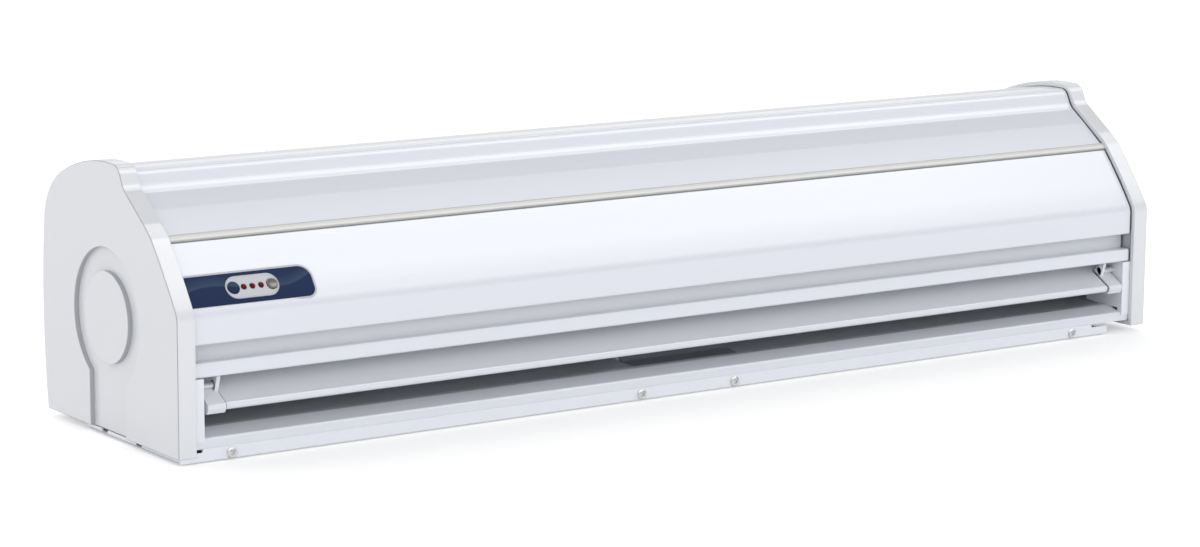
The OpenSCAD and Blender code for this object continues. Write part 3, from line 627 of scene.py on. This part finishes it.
blade = Shape()
blade.prism(in_vane([(34.5, 2.8, 0.4), (34.5, 1.2, 0.4), (2.75, 1.2)] + uv(arc(0, 3, 23.6, -290, 48))),
            -425, 425, edge=0.3)
blade.done("blade", VANE, ["vane_blade"], "vane")
for side, word in ((-1, "left"), (1, "right")):
    clip = Shape()
    clip.prism(in_vane([(20, 4.2, 0.6), (20, -0.4, 0.6), (3.6, -0.4, 0.6), (2.4, -4.4, 0.8),
                        (-2.6, -4.4, 0.7), (-4.5, -2.4, 0.6), (-4.5, 2, 0.7), (-2.6, 4.2, 0.7)]),
               *sorted((side * 426, side * 412)), edge=0.5)
    lug = sorted((side * 415, side * 412))
    clip.prism([(13.3, 40.5, 0.6), (9.2, 53.2, 0.8), (15, 53.6, 1.2), (18.2, 47, 1.4)], *lug, edge=0.3)
    clip.prism(uv(arc(PIVOT, 3.8, 180, -170, 35)), *lug, edge=0.3)
    clip.done(word + "_clip", VANE, [word + "_vane_clip"], "vane")
    # Painted shade: a thin black strip just inside each clip stands for the dark gap between the blade and
    # the clip.
    painted_gap = Shape()
    painted_gap.prism(in_vane([(20, 3.05), (20, 0.95), (3, 0.95)] + uv(arc(0, 3.25, 17, -290, 40))),
               *sorted((side * 412.1, side * 411.1)))
    painted_gap.done(word + "_clip_gap_shade", BLACK, body="vane")
pins = Shape()
for side in (-1, 1):
    m = axes(side * 435, PIVOT, 0)
    m = Matrix.Translation(m.translation) @ Matrix(((0, 0, -side), (0, 1, 0), (side, 0, 0))).to_4x4()
    pins.lathe(m, [(0, 0), (2.1, 0), (2.5, 0.4), (2.5, 21.6), (2.1, 22), (0, 22)], 32)
pins.done("pivot_pins", STEEL, ["vane_pivot_pins"], "vane")

# ------------------------------------------------------- base pan, wall plate
def outline(points):
    return rounded(points, closed=True)


def upright(u):
    """Places a plate drawn in x and v, with its height counted forwards from u."""
    return lambda x, v, h: point(x, complex(u - h, v))


def lying(v):
    """Places a plate drawn in x and u, with its height counted upwards from v."""
    return lambda x, u, h: point(x, complex(u, v + h))


def circle(x, y, r, k=24):
    return arc(complex(x, y), r, 0, 360 * (k - 1) / k, k - 1)


PLATE_X, PLATE_L, TAB_L = -17.6, 859.0, 17.5
GLAND_X, GLAND_V = -400, 22
P0, P1 = PLATE_X - PLATE_L / 2, PLATE_X + PLATE_L / 2
SCREW_X = [PLATE_X + s * d for d in (43.5, 390) for s in (-1, 1)]
pan = Shape()
pan.sheet([(SKIRT_U, 9.19), (SKIRT_U, 11.5, 3), (20, 16.2, 6), (26, 16.2)], SKIRT_T, -427.9, 427.9)
pan.plate([outline([(-PANEL_X, 9.2), (PANEL_X, 9.2), (PANEL_X, PAN_V, 1.2),
                    (P1 - TAB_L, PAN_V, 0.1), (P1 - TAB_L, -2.5, 0.6), (P0 + TAB_L, -2.5, 0.6),
                    (P0 + TAB_L, PAN_V, 0.1), (-PANEL_X, PAN_V, 0.5)])],
          -SKIRT_T, 0, upright(SKIRT_U))
pan.plate([outline([(-PANEL_X, 5.8), (PANEL_X, 5.8), (PANEL_X, PAN_BACK, 2), (-PANEL_X, PAN_BACK, 2)])]
          + [outline([(x - 15, 133, 0.5), (x + 15, 133, 0.5), (x + 15, 141.3, 0.5), (x - 15, 141.3, 0.5)])
             for x in HOOK_X], 0, SHEET_T, lying(PAN_V), edge=0.15)
pan.plate([outline([(-PANEL_X, 5.2), (PANEL_X, 5.2), (PANEL_X, 40, 3), (-PANEL_X, 40, 3)]),
           circle(GLAND_X, GLAND_V, 8.1)], 0, SHEET_T, upright(PAN_BACK), edge=0.15)
pan.done("pan", PAINT, ["base_pan"])

plate = Shape()
plate.plate([outline([(P0, -4, 1), (P0, 2.5, 1), (P0 + 17, 2.5, 1), (P0 + TAB_L, 5, 0.4),
                      (P1 - TAB_L, 5, 0.4), (P1 - 17, 2.5, 1), (P1, 2.5, 1), (P1, -4, 1)])],
            0, SHEET_T, upright(SKIRT_U), edge=0.45)
plate.plate([outline([(P0, 3.6), (P0, 143, 3), (P1, 143, 3), (P1, 3.6)])]
            + [circle(PLATE_X + a * 380, 75 + b * 45, 3.5) for a in (-1, 1) for b in (-1, 1)],
            0, SHEET_T, lying(-4), edge=0.12)
# Side flanges with two notches each
for x in (P0 + 0.6, P1 - 0.6):
    notches = [p for u in (60, 112) for p in ((u, -0.4, 0.6), (u, -2.6, 0.6),
                                              (u + 9, -2.6, 0.6), (u + 9, -0.4, 0.6))]
    plate.plate([outline([(4, -3.4), (4, -0.4, 1), *notches, (143, -0.4, 1), (143, -3.4)])],
                -0.6, 0.6, lambda u, v, h, x=x: point(x + h, complex(u, v)), edge=0.12)
for x in HOOK_X:
    plate.sheet([(140, -3), (140, 9, 1.4), (147, 9)], SHEET_T, x - 12, x + 12)
plate.done("mount_plate", DUCT, ["wall_plate"])

# ------------------------------------------------------------------ fasteners
# Outline of a pan head of radius 1, from its seat to its top, as (radius, height)
HEAD = [(0.93, 0), (1, 0.1), (0.98, 0.22), (0.88, 0.38), (0.7, 0.49), (0.4, 0.56), (0, 0.58)]


def screws(name, node, places, r, shank, long, finish=STEEL):
    """Pan-head screws with a cross recess, which narrows towards its floor."""
    heads, tools = Shape(), Shape()
    for m in places:
        heads.lathe(m, [(0, -long), (shank * 0.6, -long), (shank, -long + 1), (shank, 0)]
                    + [(r * a, r * h) for a, h in HEAD], 40)
        for turn in (45, 135):
            t = m @ Matrix.Rotation(radians(turn), 4, "Z")
            a, b = r * 0.52, r * 0.11
            slot = [tools.verts(t @ Vector((x * a * wide, y * b * high, z)) for x, y in
                                ((-1, -1), (1, -1), (1, 1), (-1, 1)))
                    for wide, high, z in ((0.6, 1, 0.2 * r), (1.3, 1.4, r))]
            tools.loft(slot)
    heads.done(name, finish, [node], cut=[tools])


screws("plate_screw_heads", "plate_screws", [axes(x, 3.1 + 0j, 180) for x in SCREW_X], 4, 2, 10, NICKEL)
screws("case_screw_heads", "case_screws",
       [axes(s * x, complex(u, v), -90) for s in (-1, 1) for x, u, v in
        ((430, 40, 4.6), (430, 165, 4.6), (442, 152, 0), (442, 188, 0))], 4, 2, 7)
screws("grille_screw_heads", "grille_screws",
       [axes(s * 427, on_back(back_angle(v)), back_angle(v)) for s in (-1, 1) for v in (60, 118)], 3.6, 2, 8)

# -------------------------------------------------------------- control panel
OVER = [(-51.2, 12.9), (49.3, 12.9, 11), (49.3, -13.4, 8), (36, -13.4, 5), (29, -12, 5), (-51.2, -12)]
INK = [(-51.2, 11.3), (47.7, 11.3, 9.5), (47.7, -12.0, 6.5), (-51.2, -11.9)]
BEZEL_L, BEZEL_H = 41.5, 17
LAMPS, LAMP_R, WINDOW_X, BUTTON_X = (-6.6, 0.1, 6.9), 2.1, -14.6, 15.4
bezel_hole = stadium(BEZEL_L + 0.2, BEZEL_H + 0.2)
lines = [-13 + 26 * i / 8 for i in range(9)]
over = Shape()
over.plate([outline(OVER), bezel_hole], 0.05, 0.6, panel_point, edge=0.2, cuts=lines)
over.done("overlay_base", RIM, ["control_overlay"])
ink = Shape()
ink.plate([outline(INK), bezel_hole], 0.6, 0.85, panel_point, edge=0.1, cuts=lines)
ink.done("overlay_film", NAVY)
bezel = Shape()
bezel.plate([stadium(BEZEL_L, BEZEL_H), circle(WINDOW_X, 0, 4.8, 40), circle(BUTTON_X, 0, 4.2, 40)]
            + [circle(x, 0, LAMP_R + 0.12) for x in LAMPS], 0.02, 1.15, flat_point, edge=0.2)
bezel.plate([stadium(BEZEL_L, BEZEL_H), stadium(BEZEL_L - 2, BEZEL_H - 2)], 0.6, 1.6, flat_point, edge=0.4)
bezel.done("bezel", BEZEL, ["indicator_bezel"])
window = Shape()
window.lathe(on_panel(WINDOW_X), [(0, -0.6), (4.75, -0.6), (4.75, 0.8), (4.5, 1.15), (3.8, 1.3), (0, 1.4)])
window.done("window", NAVY, ["receiver_window"])
lamps = Shape()
for x in LAMPS:
    lamps.lathe(on_panel(x), [(0, -8), (LAMP_R, -8), (LAMP_R, 0.4)]
                + [(LAMP_R * cos(radians(a)), 0.4 + LAMP_R * sin(radians(a))) for a in range(10, 91, 10)], 32)
lamps.done("lamps", LAMP, ["indicator_lamps"])
button = Shape()
button.lathe(on_panel(BUTTON_X), [(0, -5), (4.7, -5), (4.7, -4), (3.9, -4), (3.9, 1.7), (3.8, 2.0),
                                  (3.6, 2.05), (3.45, 1.95)]
             + [(8 * sin(radians(a)), 9.1 - 8 * cos(radians(a))) for a in (25, 20, 15, 10, 5, 0)])
button.done("button", BUTTON, ["power_button"], "button")

# ------------------------------------------------------------------------ rear
GRILLE_V = 35.5


def rear_point(x, y, h):
    """Row-frame point of a piece on the curved back, y mm round it from the grille's foot."""
    return point(x, on_back(back_angle(GRILLE_V) + degrees(y / BACK_R), h))


def rear_y(v):
    return radians(back_angle(v) - back_angle(GRILLE_V)) * BACK_R


grille = Shape()
SLOT_W = 86.67
loops = [outline([(-PANEL_X, 0), (-PANEL_X, rear_y(131.7)), (PANEL_X, rear_y(131.7)), (PANEL_X, 0)])]
for i in range(9):
    x = -414 + i * (828 + 6) / 9
    for j in range(8):
        y0, y1 = rear_y(46.5 + 10.6 * j), rear_y(53.1 + 10.6 * j)
        loops.append(outline([(x, y0, 1.6), (x + SLOT_W, y0, 1.6), (x + SLOT_W, y1, 1.6), (x, y1, 1.6)]))
grille.plate(loops, -2.4, 0, rear_point, edge=0.5, cuts=[2 + 7 * i for i in range(14)])
grille.done("grille", PAINT, ["intake_grille"])

gland = Shape()
m = axes(GLAND_X, complex(PAN_BACK, GLAND_V), 0)
gland.lathe(m, [(3.8, -8), (7.6, -8), (8, -7.6), (8, 5), (8.3, 5.3), (8.6, 5.8), (8.4, 7), (7.2, 8),
                (4.6, 8), (3.8, 7.3)], bored=True)
# The hexagons outside and inside the sheet
for h0, h1, r in ((0.02, 5, 11), (-5.2, -1.22, 10.5)):
    gland.lathe(m, [(7.9, h0), (r - 0.8, h0), (r, h0 + 0.5), (r, h1 - 0.5), (r - 0.8, h1), (7.9, h1)],
                6, bored=True)
gland.done("gland", BLACK, ["cable_gland"])

# ---------------------------------------------------------------------- stage
def shader_node(tree, kind, **values):
    node = tree.nodes.new(kind)
    for key, value in values.items():
        if key in node.inputs:
            node.inputs[key].default_value = value
        else:
            setattr(node, key, value)
    return node


def split_rays(tree, path, kind, seen, other):
    """A shader that shows the given kind of ray the shader seen, and all others the other one."""
    mix = tree.nodes.new("ShaderNodeMixShader")
    tree.links.new(path.outputs[kind], mix.inputs["Fac"])
    tree.links.new(other.outputs[0], mix.inputs[1])
    tree.links.new(seen.outputs[0], mix.inputs[2])
    return mix


floor_mesh = bpy.data.meshes.new("floor")
# Half size of the floor in metres, and its height just below the unit
FLOOR_HALF, FLOOR_Z = 8, -0.001
floor_mesh.from_pydata([(x * FLOOR_HALF, y * FLOOR_HALF, FLOOR_Z) for x, y in
                        ((-1, -1), (1, -1), (1, 1), (-1, 1))], [], [(0, 1, 2, 3)])
floor = bpy.data.objects.new("floor", floor_mesh)
bpy.context.collection.objects.link(floor)
paper = bpy.data.materials.new("paper")
paper.use_nodes = True
tree = paper.node_tree
tree.nodes.clear()
plain = shader_node(tree, "ShaderNodeBsdfDiffuse", Color=(0.9, 0.9, 0.9, 1))
glow = shader_node(tree, "ShaderNodeEmission", Strength=0.32)
lifted = tree.nodes.new("ShaderNodeAddShader")
tree.links.new(plain.outputs[0], lifted.inputs[0])
tree.links.new(glow.outputs[0], lifted.inputs[1])
paper_mix = split_rays(tree, tree.nodes.new("ShaderNodeLightPath"), "Is Camera Ray", lifted, plain)
tree.links.new(paper_mix.outputs[0], tree.nodes.new("ShaderNodeOutputMaterial").inputs["Surface"])
floor_mesh.materials.append(paper)

# Light of the studio round the length of the unit: (angle in degrees, level),
# from the horizon behind it over the top to the horizon in front. Diffuse rays
# see the fill, and glossy rays see the softboxes.
FILL = [(0, 1.5), (25, 1.78), (50, 1.35), (70, 0.83), (90, 0.52), (122, 0.52), (137, 0.94),
        (152, 1.5), (165, 2.02), (180, 2.4)]
SOFTBOXES = [(0, 0.8), (8, 0.8), (10, 1.1), (37, 1.1), (39, 0.8), (57, 0.8), (59, 2.7), (65, 2.7), (67, 0.24),
             (83.8, 0.24), (85, 2.4), (101, 1.9), (105, 2.9), (108, 3.8), (111, 3.8), (113, 3.1), (120, 3.2),
             (124, 2.2), (128, 1.1), (134, 0.8), (143, 0.4), (152, 0.1), (166, 0.1), (180, 0.8)]
# The softboxes fade out between these x parts of a ray's unit direction
FADE_FROM, FADE_TO = 0.64, 0.88
world = bpy.data.worlds.new("studio")
world.use_nodes = True
bpy.context.scene.world = world
tree = world.node_tree
tree.nodes.clear()
coords = tree.nodes.new("ShaderNodeTexCoord")
split = tree.nodes.new("ShaderNodeSeparateXYZ")
round_x = shader_node(tree, "ShaderNodeMath", operation="ARCTAN2")
across = shader_node(tree, "ShaderNodeMath", operation="ABSOLUTE")
half_turn = shader_node(tree, "ShaderNodeMath", operation="DIVIDE")
half_turn.inputs[1].default_value = pi
tree.links.new(coords.outputs["Generated"], split.inputs[0])
tree.links.new(split.outputs["X"], across.inputs[0])
tree.links.new(split.outputs["Z"], round_x.inputs[0])
tree.links.new(split.outputs["Y"], round_x.inputs[1])
tree.links.new(round_x.outputs[0], half_turn.inputs[0])


def studio(levels, ends):
    """Background whose level follows the angle round the unit. Along the unit it
    changes from its full level at the middle to that times ends at the ends."""
    peak = max(level for angle, level in levels)
    ramp = tree.nodes.new("ShaderNodeValToRGB")
    stops = ramp.color_ramp.elements
    while len(stops) < len(levels):
        stops.new(0.5)
    for stop, (angle, level) in zip(stops, levels):
        stop.position = angle / 180
        stop.color = (level / peak,) * 3 + (1,)
    light = tree.nodes.new("ShaderNodeBackground")
    tree.links.new(half_turn.outputs[0], ramp.inputs[0])
    tree.links.new(ramp.outputs["Color"], light.inputs["Color"])
    fade = tree.nodes.new("ShaderNodeMapRange")
    for socket, value in (("From Min", FADE_FROM), ("From Max", FADE_TO),
                          ("To Min", peak), ("To Max", ends * peak)):
        fade.inputs[socket].default_value = value
    tree.links.new(across.outputs[0], fade.inputs["Value"])
    tree.links.new(fade.outputs["Result"], light.inputs["Strength"])
    return light


rays = tree.nodes.new("ShaderNodeLightPath")
white = shader_node(tree, "ShaderNodeBackground", Color=(1, 1, 1, 1), Strength=1.0)
lights = split_rays(tree, rays, "Is Glossy Ray", studio(SOFTBOXES, 0), studio(FILL, 1))
world_mix = split_rays(tree, rays, "Is Camera Ray", white, lights)
tree.links.new(world_mix.outputs[0], tree.nodes.new("ShaderNodeOutputWorld").inputs["Surface"])
bpy.context.scene.view_settings.view_transform = "Standard"
